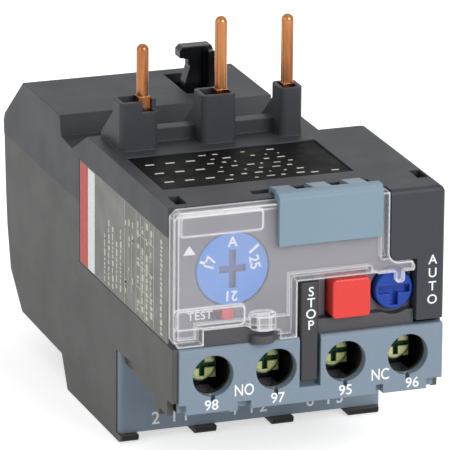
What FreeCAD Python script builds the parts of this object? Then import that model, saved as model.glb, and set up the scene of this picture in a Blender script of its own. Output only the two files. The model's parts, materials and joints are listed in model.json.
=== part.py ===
"""Thermal overload relay for a 45 mm contactor: a moulded two-shell case with three plug-in pins on top, a blue-grey
control terminal block, a recessed load terminal block, a hinged clear cover over the setting dial, and the
bimetal trip mechanism inside.

Frame: X to the right seen from the front, Y from the front to the back, Z up; millimetres. Z = 0 is the plane that
the case stands on, X = 0 the middle of the case, Y = 0 the middle of the whole depth. The shapes are drawn with
Y measured from the front face of the control block; each placement moves them back by the same amount.
"""

import FreeCAD, Part
import Sketcher
import math
import operator
import os

Vector = FreeCAD.Vector

# ---------------------------------------------------------------- driving dimensions

SIZES = {
    # case
    "case_width": 45.0,
    "rear_step": 8.5,
    "case_depth": 86.4,
    "side_block_depth": 34.9,
    "side_block_rounding": 1.2,
    "case_top": 46.3,
    "parting_height": 34.2,
    "wall": 1.6,
    "edge_radius": 0.9,
    "fit": 0.1,
    # rear block and groove of the upper housing
    "ridge_y": 42.0,
    "groove_y": 49.7,
    "groove_floor": 42.1,
    "block_front_y": 55.4,
    "block_lean": 0.8,
    "block_top": 45.9,
    "bevel_y": 75.6,
    "bevel_height": 37.8,
    # underside of the lower housing
    "base_rear_y": 52.3,
    "belly_height": 5.3,
    "belly_front_y": 55.3,
    "belly_rear_y": 76.6,
    "tail_y": 82.8,
    "tail_height": 11.4,
    "floor_thickness": 1.2,
    # front, counted from the face of the control block
    "load_face_inset": 8.5,
    "panel_y": 2.7,
    "panel_thickness": 2.2,
    "column_width": 4.7,
    "column_bottom": 24.6,
    "bay_rise": 0.6,
    "bay_corner": 1.5,
    "cover_right_inset": 9.4,
    "sill_y": 1.0,
    "sill_top": 26.2,
    # control terminal block
    "control_bottom": 13.1,
    "control_top": 23.8,
    "block_gap": 0.4,
    "control_front": 2.4,
    "cheek": 1.0,
    "terminal_middle": 0.3,
    "terminal_inner": 5.75,
    "terminal_outer": 16.2,
    "terminal_height": 19.1,
    "access_radius": 3.35,
    "cell_half_width": 4.3,
    "entry_half_width": 2.4,
    # control terminal hardware
    "screw_head_radius": 2.6,
    "screw_head_y": 5.3,
    "screw_head_height": 2.0,
    "screw_radius": 1.5,
    "screw_length": 8.0,
    "washer_width": 6.0,
    "washer_thickness": 1.0,
    "wire_gap": 0.9,
    "bar_thickness": 1.2,
    "bar_width": 3.2,
    "thread_clearance": 0.08,
    # load terminal block
    "load_pitch": 13.2,
    "load_middle": -1.0,
    "load_height": 9.5,
    "load_depth": 6.8,
    "load_top": 15.0,
    "load_cell_half_width": 4.7,
    "load_access_radius": 3.5,
    "load_head_radius": 3.2,
    "load_head_recess": 1.2,
    "load_screw_radius": 2.0,
    "load_screw_length": 3.0,
    "load_washer_width": 7.6,
    # towers and pins
    "tower_front_y": 32.2,
    "tower_depth": 4.7,
    "tower_corner": 0.9,
    "notch_width": 2.7,
    "notch_depth": 1.8,
    "tower_height": 8.0,
    "tower_wall": 0.7,
    "pin_radius": 0.975,
    "pin_root_half": 1.0,
    "pin_y": 34.95,
    "pin_foot": 1.0,
    "pole_pitch": 12.2,
    "pole_middle": -3.4,
    "link_wall_height": 2.2,
    # clear cover and marker flap
    "cover_sheet": 0.9,
    "cover_skirt": 2.5,
    "cover_left_inset": 0.1,
    "cover_bottom": 24.2,
    "cover_top": 46.1,
    "lug_x": -7.8,
    "lug_y": 0.2,
    "lug_radius": 2.0,
    "flap_left": -5.5,
    "flap_right": 11.7,
    "flap_bottom": 39.3,
    "flap_top": 47.7,
    "flap_fold": 1.5,
    "hinge_tab": 3.0,
    "flap_thickness": 0.8,
    "hinge_y": 5.9,
    "hinge_height": 46.2,
    "hinge_radius": 0.55,
    # dial, buttons and slides
    "dial_x": -11.9,
    "dial_height": 35.35,
    "dial_radius": 5.9,
    "dial_thickness": 1.2,
    "dial_slot": 1.2,
    "dial_slot_depth": 0.8,
    "dial_slot_tall": 3.1,
    "dial_slot_wide": 2.2,
    "stem_radius": 2.5,
    "button_x": 6.8,
    "button_height": 29.55,
    "button_width": 6.3,
    "button_tall": 6.4,
    "button_proud": 0.4,
    "button_rounding": 0.3,
    "knob_inset": 8.05,
    "knob_height": 29.7,
    "knob_radius": 3.2,
    "knob_face_y": 1.15,
    "play": 0.2,
    "stop_bar_x": 0.05,
    "stop_bar_width": 2.9,
    "stop_bar_bottom": 16.7,
    "stop_bar_top": 32.7,
    "test_x": -12.8,
    "test_height": 28.2,
    "test_travel": 1.8,
    # hook
    "hook_x": 4.45,
    "hook_y": 65.2,
    "hook_height": 53.0,
    "hook_lip": 1.8,
    "hook_travel": 5.0,
    # labels
    "label_thickness": 0.25,
    "label_sunk": 0.05,
    "label_rear_y": 46.0,
    "label_bottom": 24.0,
    "label_top": 41.5,
    "top_label_thickness": 0.4,
    # trip mechanism
    "strip_thickness": 1.2,
    "strip_height": 39.0,
    "pole_y": 66.0,
    "carrier_y": 50.0,
    "carrier_depth": 8.0,
    "carrier_thickness": 3.0,
    "carrier_leg": 1.35,
    "carrier_leg_depth": 8.0,
    "bimetal_thickness": 0.8,
    "bimetal_width": 6.0,
    "bimetal_end": 8.8,
    "winding_bottom": 15.0,
    "winding_pitch": 3.4,
    "winding_band": 1.3,
    "winding_sheet": 0.6,
    "load_strip_height": 12.4,
    "load_strip_width": 3.4,
    "trip_height": 9.4,
    "bar_step": 1.6,
    "trip_travel": 1.5,
    "lever_x": 4.2,
    "lever_y": 46.0,
    "lever_pin_radius": 1.0,
    "lever_hub_radius": 2.6,
    "lever_arm": 9.0,
    "lever_nose": 16.5,
    "lever_nose_top": 22.0,
    "lever_nose_thickness": 1.4,
    "running_fit": 0.06,
    "rocker_y": 19.5,
    "rocker_height": 38.2,
    "rocker_hub_radius": 1.9,
    "rocker_shaft_radius": 1.0,
    "blade_thickness": 0.4,
    "contact_gap": 0.7,
    "frame_y": 9.4,
    "frame_thickness": 1.2,
    "spring_wire": 0.35,
}


class Size:
    """A number together with the spreadsheet formula that gives it."""

    def __init__(self, formula, number):
        self.formula = formula
        self.number = number

    def __add__(self, other):
        return joined(self, "+", other)

    def __radd__(self, other):
        return joined(other, "+", self)

    def __sub__(self, other):
        return joined(self, "-", other)

    def __rsub__(self, other):
        return joined(other, "-", self)

    def __mul__(self, other):
        return joined(self, "*", other)

    def __rmul__(self, other):
        return joined(other, "*", self)

    def __truediv__(self, other):
        return joined(self, "/", other)

    def __neg__(self):
        return Size(f"(0 - {self.formula})", -self.number)


OPERATIONS = {"+": operator.add, "-": operator.sub, "*": operator.mul, "/": operator.truediv}


def as_size(value):
    return value if isinstance(value, Size) else Size(f"({float(value):.6f})", float(value))


def joined(first, sign, second):
    first, second = as_size(first), as_size(second)
    return Size(f"({first.formula} {sign} {second.formula})", OPERATIONS[sign](first.number, second.number))


def filled_sheet(document):
    """The spreadsheet of driving dimensions, one named cell each."""
    sheet = document.addObject("Spreadsheet::Sheet", "Sizes")
    for row, (alias, value) in enumerate(SIZES.items(), 1):
        sheet.set(f"A{row}", alias)
        sheet.set(f"B{row}", str(value))
        sheet.setAlias(f"B{row}", alias)
    document.recompute()
    return sheet


class Dimensions:
    """Reads the named cells as sizes."""

    def __getattr__(self, alias):
        return Size(f"Sizes.{alias}", SIZES[alias])


document = FreeCAD.newDocument("OverloadRelay")
filled_sheet(document)
dim = Dimensions()
PARTS = {}

# ---------------------------------------------------------------- drawing helpers

NORMAL = {"XY": 1, "YZ": 1, "XZ": -1}
AXES = {"X": Vector(1, 0, 0), "Y": Vector(0, 1, 0), "Z": Vector(0, 0, 1)}


def tie(thing, name, value):
    """Bind a property or constraint to the sheet, or set it when it is a plain number."""
    thing.setExpression(name, as_size(value).formula)


def place(thing, x=0.0, y=0.0, z=0.0):
    """Move a finished piece from its own frame to its seat in the relay."""
    foremost = dim.lug_radius - dim.lug_y
    depth_shift = (foremost - dim.case_depth) / 2
    tie(thing, "Placement.Base.x", x)
    tie(thing, "Placement.Base.y", depth_shift + y)
    tie(thing, "Placement.Base.z", z)


def register(thing, label):
    thing.Label = label
    PARTS[label] = thing
    return thing


def body_of(label, x=0.0, y=0.0, z=0.0):
    body = document.addObject("PartDesign::Body", "Body")
    place(body, x, y, z)
    return register(body, label)


def pin_vertex(geometry, end, u, v):
    """Constraints that hold one end of a sketch line or an arc centre at (u, v)."""
    found = []
    for kind, axis, value in (("DistanceX", -2, u), ("DistanceY", -1, v)):
        size = as_size(value)
        if abs(size.number) < 1e-9:
            found.append((Sketcher.Constraint("PointOnObject", geometry, end, axis), None))
        else:
            found.append((Sketcher.Constraint(kind, -1, 1, geometry, end, size.number), size))
    return found


def add_bound(sketch, constraints):
    """Add constraints, each with the size that drives it or None."""
    indices = sketch.addConstraint([constraint for constraint, _ in constraints])
    for index, (_, size) in zip(indices, constraints):
        if size is not None:
            sketch.setExpression(f"Constraints[{index}]", size.formula)


def polygon(points):
    """A closed outline of straight lines through the given (u, v) points."""

    def draw(sketch):
        corners = [Vector(as_size(u).number, as_size(v).number, 0) for u, v in points]
        count = len(corners)
        lines = [Part.LineSegment(corners[i], corners[(i + 1) % count]) for i in range(count)]
        first = sketch.addGeometry(lines, False)[0]
        links = [(Sketcher.Constraint("Coincident", first + i, 2, first + (i + 1) % count, 1), None)
                 for i in range(count)]
        add_bound(sketch, links)
        held = []
        for index, (u, v) in enumerate(points):
            held += pin_vertex(first + index, 1, u, v)
        add_bound(sketch, held)

    return draw


def rectangle(u0, v0, u1, v1):
    return polygon([(u0, v0), (u1, v0), (u1, v1), (u0, v1)])


def circle(u, v, radius):
    def draw(sketch):
        centre = Vector(as_size(u).number, as_size(v).number, 0)
        index = sketch.addGeometry(Part.Circle(centre, Vector(0, 0, 1), as_size(radius).number), False)
        size = as_size(radius)
        add_bound(sketch, pin_vertex(index, 3, u, v) + [(Sketcher.Constraint("Radius", index, size.number), size)])

    return draw


def rounded(u0, v0, u1, v1, radius):
    """A rectangle with four equal round corners."""

    def draw(sketch):
        size = as_size(radius)
        r = size.number
        corners = [(u1 - radius, v1 - radius, 0), (u0 + radius, v1 - radius, 1),
                   (u0 + radius, v0 + radius, 2), (u1 - radius, v0 + radius, 3)]
        centres = [Vector(as_size(u).number, as_size(v).number, 0) for u, v, _ in corners]
        arcs = [Part.ArcOfCircle(Part.Circle(centre, Vector(0, 0, 1), r), turn * math.pi / 2,
                                 (turn + 1) * math.pi / 2)
                for centre, (_, _, turn) in zip(centres, corners)]
        lines = [Part.LineSegment(arcs[i].EndPoint, arcs[(i + 1) % 4].StartPoint) for i in range(4)]
        first = sketch.addGeometry(arcs + lines, False)[0]
        found = []
        for i in range(4):
            arc, line = first + i, first + 4 + i
            across, upright = ("Horizontal", "Vertical") if i % 2 == 0 else ("Vertical", "Horizontal")
            found += pin_vertex(arc, 3, corners[i][0], corners[i][1])
            found += [(Sketcher.Constraint("Radius", arc, r), size),
                      (Sketcher.Constraint(across, arc, 3, arc, 1), None),
                      (Sketcher.Constraint(upright, arc, 3, arc, 2), None),
                      (Sketcher.Constraint("Coincident", arc, 2, line, 1), None),
                      (Sketcher.Constraint("Coincident", line, 2, first + (i + 1) % 4, 1), None)]
        add_bound(sketch, found)

    return draw


def sketch_on(body, plane, at, outlines):
    """A sketch parallel to one of the body's own planes, at a distance along the world axis."""
    support = next(item for item in body.Origin.OriginFeatures if item.Role == f"{plane}_Plane")
    sketch = body.newObject("Sketcher::SketchObject", "Sketch")
    sketch.AttachmentSupport = [(support, "")]
    sketch.MapMode = "FlatFace"
    tie(sketch, "AttachmentOffset.Base.z", at * NORMAL[plane])
    for draw in outlines:
        draw(sketch)
    return sketch


def checked(body, before, sign, what):
    """Recompute and make sure that the last feature really added or removed material."""
    document.recompute()
    change = (body.Shape.Volume - before) * sign
    if change < 1e-4:
        raise RuntimeError(f"{body.Label}: {what} changed the volume by {change:.6f}")


def extrude(body, kind, plane, start, end, outlines):
    before = body.Shape.Volume if body.Tip else 0.0
    sketch = sketch_on(body, plane, start, outlines)
    feature = body.newObject(f"PartDesign::{kind}", kind)
    feature.Profile = sketch
    tie(feature, "Length", end - start)
    adds = kind == "Pad"
    feature.Reversed = NORMAL[plane] < 0 if adds else NORMAL[plane] > 0
    checked(body, before, 1 if adds else -1, f"{kind} on {plane}")
    return feature


def add(body, plane, start, end, *outlines):
    """Material between two distances along the plane's axis."""
    return extrude(body, "Pad", plane, as_size(start), as_size(end), outlines)


def cut(body, plane, start, end, *outlines):
    """A pocket between two distances along the plane's axis."""
    return extrude(body, "Pocket", plane, as_size(start), as_size(end), outlines)


def turn(body, kind, plane, axis, *outlines):
    """A revolved feature about the sketch's own H_Axis or V_Axis."""
    before = body.Shape.Volume if body.Tip else 0.0
    sketch = sketch_on(body, plane, as_size(0), outlines)
    feature = body.newObject(f"PartDesign::{kind}", kind)
    feature.Profile = sketch
    feature.ReferenceAxis = (sketch, [axis])
    feature.Angle = 360.0
    checked(body, before, 1 if kind == "Revolution" else -1, f"{kind} on {plane}")
    return feature


def edges_at(shape, axis, *lines):
    """Names of the straight edges along an axis that lie on the given pairs of the other two coordinates."""
    direction = AXES[axis]
    kept = [i for i, name in enumerate("XYZ") if name != axis]
    names = []
    for index, edge in enumerate(shape.Edges, 1):
        ends = [vertex.Point for vertex in edge.Vertexes]
        if len(ends) != 2 or edge.Curve.TypeId != "Part::GeomLine":
            continue
        if (ends[1] - ends[0]).cross(direction).Length > 1e-6:
            continue
        for pair in lines:
            wanted = [as_size(value).number for value in pair]
            if all(abs(ends[0][k] - w) < 1e-4 for k, w in zip(kept, wanted)):
                names.append(f"Edge{index}")
                break
    return names


def local_shape(body):
    """The body's shape in its own frame."""
    shape = body.Shape.copy()
    shape.Placement = FreeCAD.Placement()
    return shape


def soften(body, kind, size, axis, *lines):
    """Fillet or chamfer the straight edges found on the given lines."""
    base = body.Tip
    names = edges_at(local_shape(body), axis, *lines)
    if not names:
        raise RuntimeError(f"{body.Label}: no edge to {kind}")
    before = body.Shape.Volume
    feature = body.newObject(f"PartDesign::{kind}", kind)
    feature.Base = (base, names)
    tie(feature, "Radius" if kind == "Fillet" else "Size", size)
    document.recompute()
    if abs(body.Shape.Volume - before) < 1e-6 or not body.Shape.isValid():
        raise RuntimeError(f"{body.Label}: {kind} failed")
    return feature


def soften_face(body, radius, y):
    """Round the whole rim of the flat face that looks forward at a distance along Y."""
    base = body.Tip
    shape = local_shape(body)
    wanted = as_size(y).number
    flat = [face for face in shape.Faces if face.BoundBox.YLength < 1e-6]
    rims = next(face.Edges for face in flat if abs(face.BoundBox.YMin - wanted) < 1e-4)
    names = [f"Edge{index}" for index, edge in enumerate(shape.Edges, 1)
             if any(edge.isSame(rim) for rim in rims)]
    feature = body.newObject("PartDesign::Fillet", "Fillet")
    feature.Base = (base, names)
    tie(feature, "Radius", radius)
    document.recompute()
    if not body.Shape.isValid() or body.Shape.isNull():
        raise RuntimeError(f"{body.Label}: the rim was not rounded")
    return feature


def block(low, high, name="Block"):
    """A Part::Box between two opposite corners."""
    box = document.addObject("Part::Box", name)
    for prop, index in (("Length", 0), ("Width", 1), ("Height", 2)):
        tie(box, prop, as_size(high[index]) - low[index])
    for letter, value in zip("xyz", low):
        tie(box, f"Placement.Base.{letter}", value)
    return box


TURNS = {"X": (Vector(0, 1, 0), 90), "Y": (Vector(1, 0, 0), -90), "Z": (Vector(0, 0, 1), 0)}


def rod(start, axis, length, radius, name="Rod"):
    """A Part::Cylinder that starts at a point and runs along an axis."""
    cylinder = document.addObject("Part::Cylinder", name)
    cylinder.Placement = FreeCAD.Placement(Vector(), FreeCAD.Rotation(*TURNS[axis]))
    tie(cylinder, "Height", length)
    tie(cylinder, "Radius", radius)
    for letter, value in zip("xyz", start):
        tie(cylinder, f"Placement.Base.{letter}", value)
    return cylinder


def joined_solid(pieces):
    if len(pieces) == 1:
        return pieces[0]
    fuse = document.addObject("Part::MultiFuse", "Join")
    fuse.Shapes = list(pieces)
    fuse.Refine = True
    return fuse


def without(base, tools):
    difference = document.addObject("Part::Cut", "Difference")
    difference.Base = base
    difference.Tool = joined_solid(tools)
    difference.Refine = True
    return difference


def finish(thing, label, x=0.0, y=0.0, z=0.0):
    """Give a primitive or boolean its name and seat; a lone primitive keeps its own place inside a compound."""
    if thing.TypeId in ("Part::Box", "Part::Cylinder"):
        holder = document.addObject("Part::Compound", "Single")
        holder.Links = [thing]
        thing = holder
    place(thing, x, y, z)
    return register(thing, label)


# ---------------------------------------------------------------- places that several pieces share

LEFT = -dim.case_width / 2
RIGHT = dim.case_width / 2
REAR_RIGHT = RIGHT - dim.rear_step
COLUMN_LEFT = RIGHT - dim.column_width
INNER_LEFT = LEFT + dim.wall
INNER_RIGHT = RIGHT - dim.wall
INNER_REAR_RIGHT = REAR_RIGHT - dim.wall
PANEL_BACK = dim.panel_y + dim.panel_thickness
BAY_TOP = dim.parting_height + dim.bay_rise
COVER_LEFT = LEFT + dim.cover_left_inset
COVER_RIGHT = RIGHT - dim.cover_right_inset
KNOB_X = RIGHT - dim.knob_inset
LOAD_FACE = dim.side_block_depth - dim.load_face_inset
CONTROL_END = LOAD_FACE - dim.block_gap
LABEL_RECESS = LEFT + dim.label_sunk + dim.label_thickness
TOWER_TOP = dim.case_top + dim.tower_height
POLES = [dim.pole_middle + dim.pole_pitch * step for step in (-1, 0, 1)]
LOADS = [dim.load_middle + dim.load_pitch * step for step in (-1, 0, 1)]
TERMINALS = {
    "98": dim.terminal_middle - dim.terminal_outer,
    "97": dim.terminal_middle - dim.terminal_inner,
    "95": dim.terminal_middle + dim.terminal_inner,
    "96": dim.terminal_middle + dim.terminal_outer,
}
WASHER_Y = dim.screw_head_y + dim.screw_head_height
BAR_Y = WASHER_Y + dim.washer_thickness + dim.wire_gap
LOAD_HEAD_Y = LOAD_FACE + dim.load_head_recess
LOAD_WASHER_Y = LOAD_HEAD_Y + dim.screw_head_height
LOAD_BAR_Y = LOAD_WASHER_Y + dim.washer_thickness + dim.wire_gap
LOAD_BACK = LOAD_FACE + dim.load_depth
STRIP_TOP = dim.strip_height + dim.strip_thickness
# half width of each tower at its outside, left to right, and its offset from the pole
TOWER_HALF = (3.2, 2.95, 1.9)
TOWER_SHIFT = (-1.4, -0.15, -0.1)
# top of each contact pin and where it stands, counted from its pole
PIN_TOPS = (63.1, 66.5, 65.9)
PIN_SHIFT = (0.0, 0.95, 0.0)


def tower_span(index):
    middle = POLES[index] + TOWER_SHIFT[index]
    return middle - TOWER_HALF[index], middle + TOWER_HALF[index]


# ---------------------------------------------------------------- case

def upper_housing():
    """The charcoal moulding: top, rear block with its groove, right-hand block and the three pin towers."""
    body = body_of("upper_housing")
    top = dim.case_top
    block_top_y = dim.block_front_y + dim.block_lean
    tail = dim.case_depth - 0.6
    add(body, "YZ", LEFT, REAR_RIGHT, polygon([
        (dim.panel_y, dim.parting_height), (dim.panel_y, top), (dim.ridge_y, top),
        (dim.groove_y, dim.groove_floor), (dim.block_front_y, dim.groove_floor + 0.4),
        (block_top_y, dim.block_top), (dim.bevel_y, dim.block_top), (tail, dim.bevel_height),
        (dim.case_depth, dim.bevel_height - 1.4), (dim.case_depth - 0.2, dim.parting_height)]))
    add(body, "XZ", 0, dim.side_block_depth, polygon([
        (COVER_RIGHT + dim.play, BAY_TOP), (COVER_RIGHT + dim.play, top), (RIGHT, top),
        (RIGHT, dim.column_bottom), (COLUMN_LEFT, dim.column_bottom), (COLUMN_LEFT, BAY_TOP)]))
    soften(body, "Fillet", dim.bay_corner, "Y", (COVER_RIGHT + dim.play, BAY_TOP))
    soften(body, "Fillet", dim.side_block_rounding, "Y", (RIGHT, top))
    soften(body, "Fillet", dim.edge_radius, "Z", (RIGHT, 0), (RIGHT, dim.side_block_depth))
    hollow_upper(body, block_top_y, tail)
    for index in range(3):
        tower(body, index)
    wall_front = dim.tower_front_y + dim.tower_depth - 1.0
    add(body, "XY", top - 0.5, top + dim.link_wall_height,
        rectangle(tower_span(0)[1] - 0.4, wall_front, tower_span(2)[0] + 0.4, wall_front + 2.4))
    for index in range(3):
        tower_bore(body, index)
    top_details(body)
    return body


def hollow_upper(body, block_top_y, tail):
    """The space inside the upper housing, open below and towards the front panel."""
    under = dim.case_top - dim.wall
    block_under = dim.block_top - dim.wall
    cut(body, "YZ", INNER_LEFT, INNER_REAR_RIGHT, polygon([
        (dim.panel_y - 1, dim.parting_height - 1), (dim.panel_y - 1, under), (dim.ridge_y - 0.6, under),
        (dim.groove_y - 0.4, dim.groove_floor - dim.wall),
        (dim.block_front_y + 1.2, dim.groove_floor - dim.wall + 0.4),
        (block_top_y + 1.4, block_under), (dim.bevel_y - 0.8, block_under),
        (tail - dim.wall, dim.bevel_height - 0.9), (tail - dim.wall, dim.parting_height - 1)]))
    cut(body, "XY", dim.column_bottom - 1, under,
        rectangle(INNER_REAR_RIGHT - 1, PANEL_BACK - 0.4, INNER_RIGHT, dim.side_block_depth - dim.wall))


def tower(body, index):
    """A pin tower with round corners and the sloped buttress behind it."""
    left, right = tower_span(index)
    front = dim.tower_front_y
    back = front + dim.tower_depth
    bevel = dim.tower_corner
    foot = dim.case_top - 0.5
    add(body, "XY", foot, TOWER_TOP, rounded(left, front, right, back, bevel))
    add(body, "YZ", left, right - 1.6, polygon([
        (back - bevel - 0.1, foot), (dim.ridge_y - 0.1, foot), (dim.ridge_y - 0.1, dim.case_top + 0.8),
        (back - bevel - 0.1, TOWER_TOP - 2.2)]))


def tower_bore(body, index):
    """The well in which a contact pin stands; the outer pair is wide, so that the pins can shift."""
    left, right = tower_span(index)
    edge = dim.tower_wall
    back = dim.tower_front_y + dim.tower_depth
    cut(body, "XY", dim.case_top - dim.wall - 0.5, TOWER_TOP + 1,
        rectangle(left + edge, dim.tower_front_y + edge, right - edge, back - edge))
    if index == 0:
        cut(body, "XY", TOWER_TOP - dim.notch_depth, TOWER_TOP + 1, rectangle(
            right - dim.notch_width, dim.tower_front_y - 1, right + 1, dim.tower_front_y + 2 * edge))


def top_details(body):
    """Label recess, clip windows, hinge groove, hook slot and the recess for the side label."""
    top = dim.case_top
    cut(body, "XY", top - 0.6, top + 0.2,
        rectangle(LEFT + 2.3, 11.6, REAR_RIGHT - 2.5, dim.tower_front_y - 2.8))
    cut(body, "XY", top - dim.wall, top + 0.1,
        rectangle(LEFT + 1.7, 3.9, LEFT + 3.6, 8.1), rectangle(RIGHT - 2.9, 5.0, RIGHT - 1.1, 9.0))
    cut(body, "YZ", dim.flap_left - 2.2, dim.flap_right + dim.play,
        rectangle(dim.hinge_y - 0.8, top - 0.9, dim.hinge_y + 1.1, top + 0.1))
    cut(body, "XY", dim.block_top - dim.wall - 0.5, dim.block_top + 1,
        rectangle(dim.hook_x - 3.3, dim.hook_y - 4.0, dim.hook_x + 3.5, dim.hook_y + dim.hook_travel + 2.8))
    cut(body, "YZ", LEFT - 1, LABEL_RECESS,
        rectangle(dim.panel_y - 1, dim.parting_height - 1, dim.label_rear_y, dim.label_top))


def lower_housing():
    """The dark grey base: floor, belly and tail, the side cheeks and the barrier feet between the load wires."""
    body = body_of("lower_housing")
    flange = LOAD_FACE + 1.0
    add(body, "YZ", LEFT, REAR_RIGHT, polygon([
        (flange, 0), (dim.base_rear_y, 0), (dim.belly_front_y, dim.belly_height),
        (dim.belly_rear_y, dim.belly_height + 0.4), (dim.tail_y, dim.tail_height),
        (dim.tail_y + 1.8, dim.tail_height + 7.1), (dim.case_depth - 1.1, dim.parting_height - 9.7),
        (dim.case_depth - 0.4, dim.parting_height), (flange, dim.parting_height)]))
    add(body, "XY", 0, dim.column_bottom,
        rectangle(REAR_RIGHT - 1, flange, RIGHT, dim.side_block_depth))
    add(body, "YZ", LEFT, LEFT + dim.cheek, cheek_outline(0.4, dim.parting_height))
    add(body, "YZ", RIGHT - dim.cheek, RIGHT, cheek_outline(1.6, dim.column_bottom))
    add(body, "XY", 0, dim.floor_thickness, rectangle(LEFT, flange - 2.2, RIGHT - 0.8, flange + 1))
    soften(body, "Fillet", dim.edge_radius, "X", (flange - 2.2, 0))
    cut(body, "YZ", INNER_LEFT, INNER_REAR_RIGHT, polygon([
        (flange - 1, dim.floor_thickness), (dim.side_block_depth, dim.floor_thickness),
        (dim.side_block_depth + 0.1, dim.wall), (dim.base_rear_y - 0.9, dim.wall),
        (dim.belly_front_y - 0.9, dim.belly_height + dim.wall), (dim.belly_rear_y - 0.6, dim.belly_height + 2.05),
        (dim.tail_y - 1.5, dim.tail_height + 0.7), (dim.case_depth - 2.9, dim.parting_height - 9.6),
        (dim.case_depth - 2.1, dim.parting_height + 1), (flange - 1, dim.parting_height + 1)]))
    cut(body, "XY", dim.floor_thickness, dim.column_bottom + 1,
        rectangle(INNER_REAR_RIGHT - 0.5, flange - 1, INNER_RIGHT, dim.side_block_depth - dim.wall))
    notches = [rectangle(x - dim.load_cell_half_width - 0.5, flange - 3, x + dim.load_cell_half_width - 0.2,
                         LOAD_BACK - 0.9) for x in LOADS]
    cut(body, "XY", -1, dim.floor_thickness + 0.01, *notches)
    cut(body, "YZ", LEFT - 1, LABEL_RECESS,
        rectangle(dim.panel_y - 1, dim.label_bottom, dim.label_rear_y, dim.parting_height + 1))
    soften(body, "Fillet", dim.edge_radius, "Z", (RIGHT, dim.side_block_depth))
    return body


def cheek_outline(front, top):
    """The side wall in front of the load face, with the small foot near its front; it steps back at the cover."""
    back = LOAD_FACE + 2
    foot = dim.control_bottom
    step = dim.control_top + dim.fit
    return polygon([
        (front, foot + 2), (front, step), (dim.panel_y, step), (dim.panel_y, top), (back, top),
        (back, dim.load_top + 0.2), (LOAD_FACE, dim.load_top + 0.2), (19.6, foot + 2.5), (19.1, foot + 0.9),
        (10.8, foot + 0.3), (9.3, foot + 0.1), (9.1, foot - 1.7), (6.4, foot - 1.7), (6.4, foot - 0.5),
        (2.6, foot - 0.6), (2.6, foot + 2)])


def front_panel():
    """The panel behind the clear cover, with the dial seat, the windows and the ledge under the cover."""
    body = body_of("front_panel")
    y = dim.panel_y
    back = PANEL_BACK
    add(body, "XZ", y, back, rectangle(INNER_LEFT + 0.05, dim.control_top, COLUMN_LEFT - 0.1,
                                       dim.case_top - dim.wall - 0.05))
    shoulder = dim.parting_height - 0.05
    cut(body, "XZ", y - 1, back + 1, polygon([
        (INNER_REAR_RIGHT - 0.05, shoulder), (REAR_RIGHT + 0.05, shoulder), (REAR_RIGHT + 0.05, BAY_TOP - 0.1),
        (COLUMN_LEFT + 1, BAY_TOP - 0.1), (COLUMN_LEFT + 1, dim.case_top),
        (INNER_REAR_RIGHT - 0.05, dim.case_top)]))
    half = dim.stop_bar_width / 2
    add(body, "XZ", dim.sill_y, y + 0.1, rectangle(dim.stop_bar_x + half + dim.fit, dim.control_top,
                                                  COLUMN_LEFT - dim.fit, dim.sill_top))
    low = dim.cover_bottom
    step = COVER_LEFT + 5.1
    add(body, "XZ", 0.6, y + 0.5, polygon([
        (step, dim.control_top), (step + 12.2, dim.control_top), (step + 12.2, low + 1.0),
        (step + 8.0, low + 1.5), (step + 6.4, low + 2.3), (step, low + 2.3)]))
    add(body, "XY", dim.control_top + 0.1, low + 1.0, circle(dim.lug_x, dim.lug_y + 0.2, dim.lug_radius))
    cut(body, "XZ", y - 1, y + dim.dial_thickness + dim.fit,
        circle(dim.dial_x, dim.dial_height, dim.dial_radius + dim.play))
    cut(body, "XZ", y, back + 1, circle(dim.dial_x, dim.dial_height, dim.stem_radius + dim.running_fit))
    half_w = dim.button_width / 2 + dim.play
    half_t = dim.button_tall / 2 + dim.play
    cut(body, "XZ", y - 1, back + 1,
        rectangle(dim.button_x - half_w, dim.button_height - half_t, dim.button_x + half_w,
                  dim.button_height + half_t))
    cut(body, "XZ", y - 1, back + 1, circle(KNOB_X, dim.knob_height, dim.knob_radius + dim.play))
    cut(body, "XZ", dim.sill_y - 1, y, circle(KNOB_X, dim.knob_height, dim.knob_radius + 4 * dim.play))
    cut(body, "XZ", y - 1, back + 1,
        rectangle(dim.test_x - 1.1 - dim.test_travel, dim.test_height - 0.9, dim.test_x + 1.1,
                  dim.test_height + 0.9))
    return body


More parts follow.
